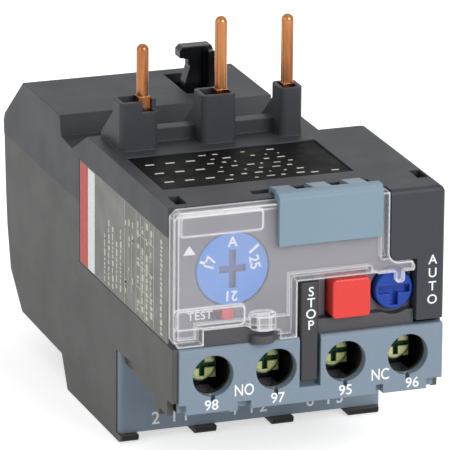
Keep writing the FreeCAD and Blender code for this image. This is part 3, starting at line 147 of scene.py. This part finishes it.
class Shader:
    """A material under construction: its node tree and its principled shader."""

    def __init__(self, name):
        self.material = bpy.data.materials.new(name)
        self.material.use_nodes = True
        self.tree = self.material.node_tree
        self.surface = self.tree.nodes["Principled BSDF"]
        self.place = self.add("ShaderNodeTexCoord").outputs["Object"]

    def add(self, kind, **settings):
        node = self.tree.nodes.new(kind)
        for key, value in settings.items():
            setattr(node, key, value)
        return node

    def join(self, output, target):
        self.tree.links.new(output, target)

    def noise(self, per_metre, detail=2.0, stretch=(1, 1, 1)):
        """Noise over the surface, with so many cells in a metre, drawn out where stretch is under 1."""
        mapping = self.add("ShaderNodeMapping")
        mapping.inputs["Scale"].default_value = stretch
        self.join(self.place, mapping.inputs["Vector"])
        texture = self.add("ShaderNodeTexNoise")
        texture.inputs["Scale"].default_value = per_metre
        texture.inputs["Detail"].default_value = detail
        self.join(mapping.outputs["Vector"], texture.inputs["Vector"])
        return texture.outputs["Fac"]

    def ramp(self, value, low, high, start=0.35, end=0.65):
        """Values between low and high, numbers or colours, where value goes from start to end."""
        node = self.add("ShaderNodeValToRGB")
        for element, position, entry in zip(node.color_ramp.elements, (start, end), (low, high)):
            element.position = position
            element.color = entry if isinstance(entry, tuple) else (entry, entry, entry, 1.0)
        self.join(value, node.inputs["Fac"])
        return node.outputs["Color"]

    def mix(self, factor, first, second):
        node = self.add("ShaderNodeMix", data_type="RGBA")
        self.join(factor, node.inputs["Factor"])
        for slot, entry in ((MIX_FIRST, first), (MIX_SECOND, second)):
            if isinstance(entry, tuple):
                node.inputs[slot].default_value = entry
            else:
                self.join(entry, node.inputs[slot])
        return node.outputs[MIX_RESULT]

    def past(self, axis, limit):
        """White where the surface lies past that X, Y or Z of the object, black short of it, with a narrow blend."""
        blend = 0.05 * MM
        parts = self.add("ShaderNodeSeparateXYZ")
        self.join(self.place, parts.inputs["Vector"])
        step = self.add("ShaderNodeMapRange")
        step.inputs["From Min"].default_value = limit - blend
        step.inputs["From Max"].default_value = limit + blend
        self.join(parts.outputs[axis], step.inputs["Value"])
        return step.outputs["Result"]

    def zoned(self, colour, zones):
        """The colour with others on parts of the object.

        Each zone is (axis, limit, other, is_past): the other colour lies past the limit on that axis, or short of
        it. Where the other is None, the plain colour comes back there.
        """
        result = colour
        for axis, limit, other, is_past in zones:
            other = other or colour
            short, long = (result, other) if is_past else (other, result)
            result = self.mix(self.past(axis, limit), short, long)
        return result

    def rounded_normal(self, radius):
        """The surface's direction as if its edges were rounded by that radius."""
        bevel = self.add("ShaderNodeBevel", samples=4)
        bevel.inputs["Radius"].default_value = radius
        return bevel.outputs["Normal"]

    def edges(self, radius):
        """White on edges that are sharper than the radius, black on flats."""
        sharp, flat = 0.86, 0.995
        geometry = self.add("ShaderNodeNewGeometry")
        dot = self.add("ShaderNodeVectorMath", operation="DOT_PRODUCT")
        self.join(self.rounded_normal(radius), dot.inputs[0])
        self.join(geometry.outputs["Normal"], dot.inputs[1])
        return self.ramp(dot.outputs["Value"], 1.0, 0.0, sharp, flat)

    def finish(self, colour, roughness, **constants):
        """Joins a colour and a roughness to the surface, and sets what is the same all over it by socket name."""
        self.join(colour, self.surface.inputs["Base Color"])
        self.join(roughness, self.surface.inputs["Roughness"])
        for socket, value in constants.items():
            self.surface.inputs[socket.replace("_", " ")].default_value = value

    def bump(self, value, height, rounding=0.0):
        """Relief of that height, on edges that look rounded by that radius."""
        bump = self.add("ShaderNodeBump")
        bump.inputs["Strength"].default_value = 1.0
        bump.inputs["Distance"].default_value = height
        self.join(value, bump.inputs["Height"])
        if rounding:
            self.join(self.rounded_normal(rounding), bump.inputs["Normal"])
        self.join(bump.outputs["Normal"], self.surface.inputs["Normal"])


def moulded(name, colour, rough=(0.42, 0.56), grain=0.012, edge_highlight=1.5, speck=0.16, zones=(), shine=0.5):
    """Moulded plastic: fine spark grain, faintly cloudy tone, edges painted paler as a highlight; grain is in
    millimetres.
    """
    rounding = 0.25 * MM
    highlight_width = 0.4 * MM
    shader = Shader(name)
    cloud = shader.ramp(shader.noise(STAINS, 3.0), scaled(colour, 0.97), scaled(colour, 1.03))
    specks = shader.ramp(shader.noise(SPARKS, 1.0), scaled(colour, 1 - speck), scaled(colour, 1 + speck), 0.3, 0.7)
    tone = shader.mix(shader.ramp(shader.noise(MOTTLE, 2.0), 0.25, 0.6), cloud, specks)
    # Painted highlight: edges sharper than the rounding are painted paler by the given factor.
    highlighted = shader.mix(shader.edges(highlight_width), tone, scaled(colour, edge_highlight))
    shader.finish(shader.zoned(highlighted, zones), shader.ramp(shader.noise(PATCHES, 3.0), *rough),
                  Specular_IOR_Level=shine)
    shader.bump(shader.noise(GRAIN, 1.5), grain * MM, rounding)
    return shader.material


def metal(name, colour, dull, rough=(0.24, 0.42), stretch=(1, 1, 1), patches=(0.45, 0.6), scale=420, metallic=1.0,
          zones=()):
    """Bare or plated metal: drawn or machined lines and duller patches; on the copper the darker streaks are painted
    reflection.
    """
    streaks, scratches = 700, 2400
    relief, rounding = 0.012 * MM, 0.15 * MM
    shader = Shader(name)
    patch = shader.ramp(shader.noise(scale, 3.0, stretch), dull, colour, *patches)
    shader.finish(shader.zoned(patch, zones), shader.ramp(shader.noise(streaks, 3.0, stretch), *rough),
                  Metallic=metallic)
    shader.bump(shader.noise(scratches, 2.0, stretch), relief, rounding)
    return shader.material


def printed(name, colour):
    """Printing ink: nearly even, with thin spots."""
    spots, blotches, grain = 2500, 1500, 4000
    relief = 0.004 * MM
    shader = Shader(name)
    ink = shader.ramp(shader.noise(spots, 2.0), scaled(colour, 0.86), colour, 0.3, 0.55)
    shader.finish(ink, shader.ramp(shader.noise(blotches), 0.45, 0.55))
    shader.bump(shader.noise(grain), relief)
    return shader.material


def clear_plastic(name, colour):
    """Clear polycarbonate, slightly milky partly as painted sheen, with painted white highlights on its edges and
    fine rub marks.
    """
    clouds, rubs, waves = 90, 300, 60
    edge_glint_width, relief, rounding = 0.65 * MM, 0.05 * MM, 0.3 * MM
    edge_glint_alpha = (0.9, 0.9, 0.9, 1.0)
    shader = Shader(name)
    # Painted highlight: the cover's edges are painted near white and nearly opaque.
    edge_glint = shader.edges(edge_glint_width)
    # Partly real cloudiness and partly painted sheen: a faint milky layer over what lies behind the cover.
    haze_and_sheen = shader.ramp(shader.noise(clouds, 3.0), 0.13, 0.17)
    shader.join(shader.mix(edge_glint, haze_and_sheen, edge_glint_alpha), shader.surface.inputs["Alpha"])
    shader.finish(shader.mix(edge_glint, colour, CLEAR_EDGE_GLINT), shader.ramp(shader.noise(rubs, 2.0, (1, 1, 3)), 0.05, 0.16),
                  IOR=1.58)
    shader.bump(shader.noise(waves, 2.0), relief, rounding)
    return shader.material


def label_stock(name, colour, rough, shine):
    """A printed plastic plate with faint stains."""
    stains, patches, grain = 110, 240, 1800
    relief, rounding = 0.006 * MM, 0.08 * MM
    shader = Shader(name)
    tone = shader.ramp(shader.noise(stains, 3.0), scaled(colour, 0.9), scaled(colour, 1.08))
    shader.finish(tone, shader.ramp(shader.noise(patches, 2.0), rough - 0.06, rough + 0.06),
                  Specular_IOR_Level=shine)
    shader.bump(shader.noise(grain), relief, rounding)
    return shader.material


def behind(node, depth, colour):
    """Another colour from so far behind the front face of a node; the nodes' own axes are the frame's."""
    return (("Y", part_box(node)[0].y + depth, colour, True),)


# The feet under the case are black, and its side walls keep their own colour down to the floor.
FOOT_HEIGHT, SIDE_WALL = 1.15 * MM, 0.3 * MM
FEET = (("Z", LOW.z + FOOT_HEIGHT, SHADE_AND_FOOT_BLACK, False),
        ("X", LOW.x + SIDE_WALL, None, False),
        ("X", HIGH.x - SIDE_WALL, None, True))

# How far behind a front face its colour ends: in the screw openings and in the slots of dial and screws, where
# painted shade takes over, and for the panel, whose own colour starts just in front of the dial's face.
OPENING_SHADE_DEPTH, LOAD_OPENING_SHADE_DEPTH, SLOT_SHADE_DEPTH = 1.6 * MM, 1.1 * MM, 0.3 * MM
PANEL_START = -0.1 * MM
SCREW = {"rough": (0.2, 0.36), "scale": 240, "metallic": 0.1}

FINISHES = {
    "charcoal": moulded("charcoal", CHARCOAL, rough=(0.5, 0.56), edge_highlight=1.35, shine=0.35),
    "dark_grey": moulded("dark_grey", SHELL, rough=(0.5, 0.56), edge_highlight=1.2, zones=FEET, shine=0.3),
    "panel_grey": moulded("panel_grey", PANEL, grain=0.006, speck=0.06,
                          zones=behind("setting_dial", PANEL_START, PANEL_FACE)),
    # Painted shade: deep in the control block's screw openings the colour is near black, standing also for the dark
    # clamps inside.
    "blue_grey": moulded("blue_grey", BLUE_GREY, grain=0.006, edge_highlight=1.12, speck=0.07,
                         zones=behind("control_block", OPENING_SHADE_DEPTH, SHADE_AND_FOOT_BLACK)),
    # Painted shade: deep in the load block's screw openings the colour is near black.
    "blue_grey_load": moulded("blue_grey_load", BLUE_GREY, grain=0.006, edge_highlight=1.12, speck=0.07,
                              zones=behind("load_block", LOAD_OPENING_SHADE_DEPTH, SHADE_AND_FOOT_BLACK)),
    "flap_blue_grey": moulded("flap_blue_grey", FLAP, grain=0.003, edge_highlight=1.1, speck=0.04),
    "clear": clear_plastic("clear", CLEAR),
    # Painted shade: the dial's slot is painted darker blue.
    "dial_blue": moulded("dial_blue", DIAL, rough=(0.28, 0.4), grain=0.003, edge_highlight=1.1, speck=0.04,
                         zones=behind("setting_dial", SLOT_SHADE_DEPTH, DIAL_SLOT_SHADE)),
    "knob_blue": moulded("knob_blue", KNOB, rough=(0.14, 0.24), grain=0.003, edge_highlight=1.5, speck=0.05, shine=0.35),
    "red": moulded("red", RED, rough=(0.25, 0.38), grain=0.003, edge_highlight=1.1, speck=0.04),
    "hook_black": moulded("hook_black", HOOK, rough=(0.14, 0.26), grain=0.004, edge_highlight=1.4, shine=0.2),
    "black": moulded("black", BLACK, rough=(0.32, 0.46), grain=0.006, edge_highlight=1.6),
    # Painted reflection: the copper's colour runs in darker vertical streaks.
    "copper": metal("copper", COPPER, COPPER_DARK_REFLECTION, stretch=(1, 1, 0.12), rough=(0.16, 0.32),
                    patches=(0.35, 0.55)),
    "zinc": metal("zinc", ZINC, ZINC_DULL, **SCREW),
    # Painted shade: deep in their slots the terminal and load screws are painted dark green.
    "zinc_control": metal("zinc_control", ZINC, ZINC_DULL, **SCREW,
                          zones=behind("terminal_screw_95", SLOT_SHADE_DEPTH, SLOT_SHADE_GREEN)),
    "zinc_load": metal("zinc_load", ZINC, ZINC_DULL, **SCREW, zones=behind("load_screw_1", SLOT_SHADE_DEPTH, SLOT_SHADE_GREEN)),
    "contact_bar": metal("contact_bar", BAR, scaled(BAR, 0.7)),
    "contact_brass": metal("contact_brass", BRASS, scaled(BRASS, 0.6)),
    "label_grey": label_stock("label_grey", LABEL, 0.45, 0.5),
    "label_black": label_stock("label_black", LABEL_BLACK, 0.55, 0.06),
    "insulator": moulded("insulator", INSULATOR, grain=0.008, edge_highlight=1.1),
    "bimetal": metal("bimetal", STEEL, scaled(COPPER, 0.8), patches=(0.35, 0.55)),
    "heater": metal("heater", HEATER, scaled(HEATER, 0.6)),
    "steel": metal("steel", STEEL, scaled(STEEL, 0.7)),
}
INK = printed("ink_white", PRINT)
INK_GREY = printed("ink_grey", PRINT_GREY)
INK_RED = printed("ink_red", PRINT_RED)

# Nodes whose finish isn't their slot's, by the start of their name.
OWN_FINISH = {"load_block": "blue_grey_load", "contactor_hook": "hook_black", "contact_bar": "contact_bar",
              "terminal_screw": "zinc_control", "load_screw": "zinc_load"}


def finish_of(node):
    for start, finish in OWN_FINISH.items():
        if node.startswith(start):
            return FINISHES[finish]
    return FINISHES[SLOT_OF[node]]


for node, obj in NODES.items():
    obj.data.materials.clear()
    obj.data.materials.append(finish_of(node))


# ---------------------------------------------------------------- printed marks

def middle(node):
    low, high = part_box(node)
    return (low + high) / 2


def mark(name, words, node, place, height, turn=0.0, bold=0.014, spacing=1.0, narrow=1.0):
    """Letters of the given height around a place on the front of a node, on the node's body, just proud of it."""
    curve = bpy.data.curves.new(name, "FONT")
    curve.body = words
    curve.align_x = "CENTER"
    curve.align_y = "CENTER"
    curve.size = height / LETTER_SHARE
    curve.space_character = spacing
    curve.extrude = FILM / 2
    curve.offset = height * bold
    curve.resolution_u = 4
    obj = bpy.data.objects.new(name, curve)
    bpy.context.scene.collection.objects.link(obj)
    x, y, z = place
    obj.matrix_world = (Matrix.Translation((x, y - FILM / 2, z)) @ Matrix.Rotation(-turn, 4, "Y")
                        @ Matrix.Rotation(math.pi / 2, 4, "X") @ Matrix.Diagonal((narrow, 1, 1, 1)))
    curve.materials.append(INK)
    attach(obj, BODY_OF[node])


def film(name, mesh, node, ink, **settings):
    """A mesh printed in ink on a node: as thick as the film, and on the node's body."""
    obj = bpy.data.objects.new(name, mesh)
    bpy.context.scene.collection.objects.link(obj)
    mesh.materials.append(ink)
    thicken = obj.modifiers.new("film", "SOLIDIFY")
    thicken.thickness = FILM
    for key, value in settings.items():
        setattr(thicken, key, value)
    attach(obj, BODY_OF[node])


def sheet(name, node, origin, across, up, patches, ink):
    """Thin printed patches (u0, v0, u1, v1) laid out from the origin along two directions."""
    vertices, faces = [], []
    for u0, v0, u1, v1 in patches:
        start = len(vertices)
        for u, v in ((u0, v0), (u1, v0), (u1, v1), (u0, v1)):
            vertices.append(origin + across * u + up * v)
        faces.append((start, start + 1, start + 2, start + 3))
    mesh = bpy.data.meshes.new(name)
    mesh.from_pydata(vertices, [], faces)
    film(name, mesh, node, ink, offset=0)


def dial_marks():
    """The scale of the setting dial: a letter, three currents and two ticks around the slot."""
    low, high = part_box("setting_dial")
    centre = middle("setting_dial")
    radius = (high.x - low.x) / 2
    height, half_tick = 1.65 * MM, 0.23 * MM
    for name, words, angle, share in (("dial_a", "A", 90, 0.74), ("dial_17", "17", 161, 0.65),
                                      ("dial_21", "21", 267, 0.73), ("dial_25", "25", 11, 0.62)):
        angle = math.radians(angle)
        place = (centre.x + radius * share * math.cos(angle), low.y, centre.z + radius * share * math.sin(angle))
        mark(name, words, "setting_dial", place, height, turn=angle - math.pi / 2, bold=0.03)
    at = Vector((centre.x, low.y - FILM / 2, centre.z))
    for name, angle, start in (("dial_tick_1", 40, 0.62), ("dial_tick_2", 163, 0.8)):
        outward = Vector((math.cos(math.radians(angle)), 0, math.sin(math.radians(angle))))
        across = Vector((-outward.z, 0, outward.x))
        tick = (radius * start, -half_tick, radius * 0.95, half_tick)
        sheet(name, "setting_dial", at, outward, across, [tick], INK)


def panel_marks():
    """Pointer triangle and test word on the panel, whose face is flush with the dial's."""
    dial_low, dial_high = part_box("setting_dial")
    face = dial_low.y
    x, z = dial_low.x - 1.2 * MM, dial_high.z - 2.95 * MM
    half, tall = 1.05 * MM, 1.5 * MM
    corners = [(x - half, face - FILM, z), (x + half, face - FILM, z), (x, face - FILM, z + tall)]
    mesh = bpy.data.meshes.new("pointer")
    mesh.from_pydata(corners, [], [(0, 1, 2)])
    film("pointer", mesh, "front_panel", INK)
    test = middle("test_slide")
    left_of_slide = 5.65 * MM
    mark("word_test", "TEST", "front_panel", (test.x - left_of_slide, face, test.z), 1.35 * MM, spacing=1.05)


def stacked(name, words, node, place, step):
    """A word whose upright letters stand one below the other, the first one at the place."""
    height = 1.55 * MM
    x, y, top = place
    for index, letter in enumerate(words):
        mark(f"{name}_{letter.lower()}_{index + 1}", letter, node, (x, y, top - index * step), height)


def bar_and_side_marks():
    """STOP down the bar beside the red button, and AUTO down the case beside the knob."""
    low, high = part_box("stop_bar")
    place = ((low.x + high.x) / 2 + 0.15 * MM, low.y, high.z - 1.6 * MM)
    stacked("word_stop", "STOP", "stop_bar", place, 1.83 * MM)
    place = (HIGH.x - 2.1 * MM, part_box("upper_housing")[0].y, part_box("reset_knob")[1].z + 1.0 * MM)
    stacked("word_auto", "AUTO", "upper_housing", place, 2.18 * MM)


def block_marks():
    """Numbers of the terminals and the words for their contacts."""
    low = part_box("control_block")[0]
    number_z, word_z = low.z + 1.2 * MM, low.z + 3.1 * MM
    for number, shift in (("98", -0.25), ("97", 0.25), ("95", 0.05), ("96", 0.8)):
        x = middle(f"terminal_screw_{number}").x + shift * MM
        mark(f"number_{number}", number, "control_block", (x, low.y, number_z), 1.7 * MM)
    for words, first, second, shift in (("NO", "98", "97", -0.1), ("NC", "95", "96", 0.6)):
        x = (middle(f"terminal_screw_{first}").x + middle(f"terminal_screw_{second}").x) / 2 + shift * MM
        mark(f"word_{words.lower()}", words, "control_block", (x, low.y, word_z), 1.9 * MM, narrow=0.8)
    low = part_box("load_block")[0]
    for index, words in enumerate(("2 T1", "4 T2", "6 T3"), 1):
        place = (middle(f"load_screw_{index}").x + 0.6 * MM, low.y, low.z + 1.9 * MM)
        mark(f"number_load_{index}", words, "load_block", place, 2.1 * MM, spacing=1.25)


def drawn(dice, least, spread):
    """A length in metres from millimetres; where there is a spread, one number is drawn for it."""
    return (least + spread * dice.random() if spread else least) * MM


def dash_column(dice, u, v, top, length, width, gap, share=1.0, inset=0.0):
    """Dashes from v up to the top. Length, width and gap are (least, spread); a share below 1 leaves some out."""
    dashes = []
    while v < top:
        long = drawn(dice, *length)
        if share == 1.0 or dice.random() < share:
            dashes.append((u + inset, v, u + drawn(dice, *width), v + long))
        v += long + drawn(dice, *gap)
    return dashes


def side_marks(dice):
    """The side plate: a red and a white band, lines of text, a drawing and a table, all as plain dashes."""
    low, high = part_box("side_label")
    back, up = Vector((0, -1, 0)), Vector((0, 0, 1))
    at = Vector((low.x - FILM / 2, high.y, low.z))
    tall = high.z - low.z
    margin, red_start, red_end, white_start, white_end = 0.2 * MM, 0.3 * MM, 4.0 * MM, 4.2 * MM, 7.6 * MM
    sheet("side_strip_red", "side_label", at, back, up, [(red_start, margin, red_end, tall - margin)], INK_RED)
    sheet("side_strip_white", "side_label", at, back, up, [(white_start, margin, white_end, tall - margin)], INK)

    text_start, text_step = 12.4 * MM, 1.95 * MM
    drawing_start, drawing_step, wire = 22.4 * MM, 1.7 * MM, 0.12 * MM
    table_start, table_end, table_step, rule, row_above = 28.0 * MM, 36.4 * MM, 2.1 * MM, 0.14 * MM, -0.01 * MM
    last_column = 39.6 * MM
    dashes = []
    for step in range(5):
        start = drawn(dice, 0.3, 1.2)
        top = tall * (0.42 + 0.3 * dice.random())
        dashes += dash_column(dice, text_start + text_step * step, start, top, (0.35, 0.9), (0.45, 0.35), (0.18, 0.2))
    for step in range(3):
        u = drawing_start + drawing_step * step
        dashes.append((u, tall * 0.08 * step, u + wire, tall * (1 - 0.12 * step) - 0.3 * MM))
        for _ in range(4):
            v = tall * (0.1 + 0.7 * dice.random())
            dashes.append((u + 0.3 * MM, v, u + 0.8 * MM, v + drawn(dice, 0.4, 0.8)))
    for step in range(5):
        u = table_start + table_step * step
        dashes.append((u, 0.3 * MM, u + rule, tall - 0.4 * MM))
        start = drawn(dice, 0.6, 0.5)
        if step < 4:
            dashes += dash_column(dice, u, start, tall - 1.5 * MM, (0.3, 0.9), (1.0, 0.7), (0.25, 0), 0.75, 0.6 * MM)
    rules = [(table_start, v, table_end, v + rule) for v in (tall * 0.28, tall * 0.5, tall * 0.79)]
    sheet("side_rules", "side_label", at + Vector((row_above, 0, 0)), back, up, rules, INK_GREY)
    dashes += dash_column(dice, last_column, 0.6 * MM, tall - 1.6 * MM, (0.35, 0.6), (0.7, 0.6), (0.28, 0))
    sheet("side_print", "side_label", at, back, up, dashes, INK_GREY)


def top_marks(dice):
    """The top plate: nine even dashes, a scatter of small ones and two more in front."""
    low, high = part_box("top_label")
    depth = high.y - low.y
    dashes = []
    for row in range(3):
        for column in range(3):
            u, v = (1.6 + 3.4 * column) * MM, depth * (0.75 - 0.265 * row)
            dashes.append((u, v, u + 1.5 * MM, v + 0.45 * MM))
    for row in range(7):
        for column in range(6):
            u = drawn(dice, 11.0 + 2.3 * column + 1.1 * (row % 2), 0.5)
            v = depth * (0.86 - 0.125 * row) + drawn(dice, 0, 0.3)
            if dice.random() < 0.72:
                dashes.append((u, v, u + drawn(dice, 0.3, 1.1), v + drawn(dice, 0.25, 0.2)))
    for u in (25.2 * MM, 28.6 * MM):
        dashes.append((u, depth * 0.1, u + 1.2 * MM, depth * 0.1 + 0.4 * MM))
    at = Vector((low.x, low.y, high.z + FILM / 2))
    sheet("top_print", "top_label", at, Vector((1, 0, 0)), Vector((0, 1, 0)), dashes, INK_GREY)


dial_marks()
panel_marks()
block_marks()
plate_dice = random.Random(7)
side_marks(plate_dice)
top_marks(plate_dice)
bar_and_side_marks()


# ---------------------------------------------------------------- stage, light and camera

def greatest_of(tree, rays):
    """1 where any of these outputs of a Light Path node is 1."""
    path = tree.nodes.new("ShaderNodeLightPath")
    result = path.outputs[rays[0]]
    for name in rays[1:]:
        either = tree.nodes.new("ShaderNodeMath")
        either.operation = "MAXIMUM"
        tree.links.new(result, either.inputs[0])
        tree.links.new(path.outputs[name], either.inputs[1])
        result = either.outputs[0]
    return result


def stage():
    """A pale floor that the relay stands on; rays from the camera, and through or off the object, see it paler."""
    paleness = 0.58
    material = bpy.data.materials.new("floor")
    material.use_nodes = True
    tree = material.node_tree
    surface = tree.nodes["Principled BSDF"]
    surface.inputs["Base Color"].default_value = (0.85, 0.85, 0.85, 1)
    surface.inputs["Roughness"].default_value = 0.9
    glow = tree.nodes.new("ShaderNodeMath")
    glow.operation = "MULTIPLY"
    glow.inputs[1].default_value = paleness
    tree.links.new(greatest_of(tree, ("Is Camera Ray", "Is Glossy Ray", "Is Transmission Ray")), glow.inputs[0])
    surface.inputs["Emission Color"].default_value = WHITE
    tree.links.new(glow.outputs[0], surface.inputs["Emission Strength"])
    bpy.ops.mesh.primitive_plane_add(size=8, location=(0, 0, LOW.z - 0.02 * MM))
    floor = bpy.context.object
    floor.name = "floor"
    floor.data.materials.append(material)


def world():
    """Soft even light from all around, white where it is seen."""
    made = bpy.data.worlds.new("studio")
    bpy.context.scene.world = made
    made.use_nodes = True
    tree = made.node_tree
    dim, bright = tree.nodes["Background"], tree.nodes.new("ShaderNodeBackground")
    for background, strength in ((dim, 0.6), (bright, 1.0)):
        background.inputs["Color"].default_value = WHITE
        background.inputs["Strength"].default_value = strength
    blend = tree.nodes.new("ShaderNodeMixShader")
    tree.links.new(greatest_of(tree, ("Is Camera Ray", "Is Glossy Ray")), blend.inputs[0])
    tree.links.new(dim.outputs[0], blend.inputs[1])
    tree.links.new(bright.outputs[0], blend.inputs[2])
    tree.links.new(blend.outputs[0], tree.nodes["World Output"].inputs["Surface"])


def lamp(name, at, size, watts):
    """A square soft box that points at the middle of the relay."""
    target = Vector((0, 0, 0.03))
    data = bpy.data.lights.new(name, "AREA")
    data.size = size
    data.energy = watts
    obj = bpy.data.objects.new(name, data)
    obj.location = at
    obj.rotation_euler = (target - Vector(at)).to_track_quat("-Z", "Y").to_euler()
    bpy.context.scene.collection.objects.link(obj)


def camera():
    """A long lens in front of the left side, a little above; its place and axes were fitted to the case's edges."""
    place = (-0.2886, -0.8019, 0.3046)
    right = Vector((0.94013, -0.34072, 0.00830))
    up = Vector((0.09795, 0.29344, 0.95095))
    backward = Vector((-0.32644, -0.89320, 0.30924))
    data = bpy.data.cameras.new("camera")
    data.lens = 442
    data.sensor_width = 36
    data.shift_x = -0.0428
    data.shift_y = 0.0221
    data.clip_end = 20
    obj = bpy.data.objects.new("camera", data)
    turn = Matrix((right, up, backward)).transposed().to_4x4()
    obj.matrix_world = Matrix.Translation(place) @ turn
    bpy.context.scene.collection.objects.link(obj)
    bpy.context.scene.camera = obj


stage()
world()
lamp("key", at=(0.3, -0.82, 0.48), size=0.5, watts=5.6)
lamp("fill", at=(-0.8, -0.25, 0.35), size=0.6, watts=1.0)
camera()
bpy.context.scene.view_settings.view_transform = "Standard"
